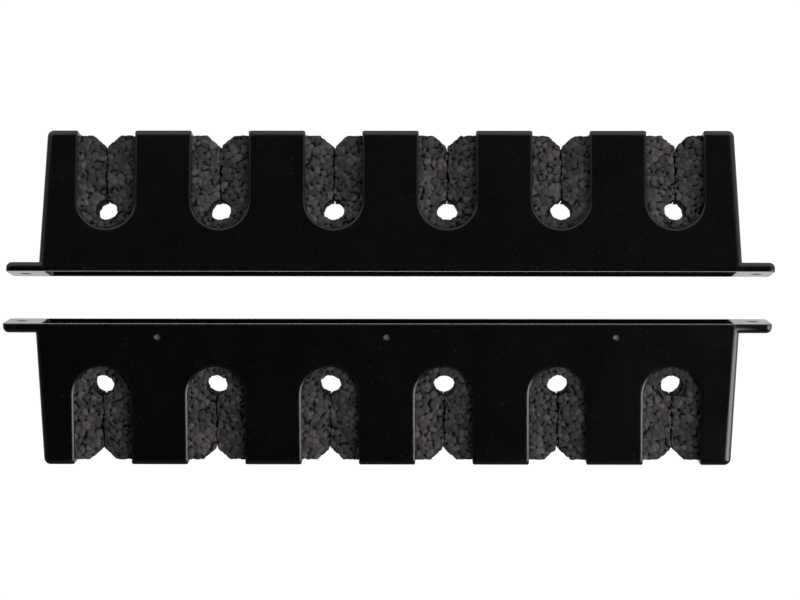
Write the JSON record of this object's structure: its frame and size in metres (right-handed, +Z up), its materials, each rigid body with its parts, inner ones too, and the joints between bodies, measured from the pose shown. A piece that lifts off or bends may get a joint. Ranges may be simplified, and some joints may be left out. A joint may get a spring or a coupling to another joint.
{
  "type": "wall cue rack",
  "caption": "Pair of moulded black plastic wall rails with a row of U-shaped slots; a notched foam strip inside each grips cue shafts, and a screw ear at each end fixes it to a wall.",
  "frame": {"origin": "bottom centre of the box around both rails as they lie on the floor, back to back", "axes": "+X along the rails, +Y towards the upper rail, whose slots open that way, +Z up from the floor; each rail lies on one of its drafted plates, so its wall face leans 3.8 degrees upwards"},
  "size_m": [0.3438, 0.1494, 0.0329],
  "materials": {
    "black_plastic": "satin moulded, very fine grain",
    "bead_foam": "closed-cell bonded bead foam, charcoal, cut faces"
  },
  "bodies": {
    "root": {"upper_rail_shell": "black_plastic", "upper_foam_strip": "bead_foam", "lower_rail_shell": "black_plastic", "lower_foam_strip": "bead_foam"}
  },
  "joints": []
}
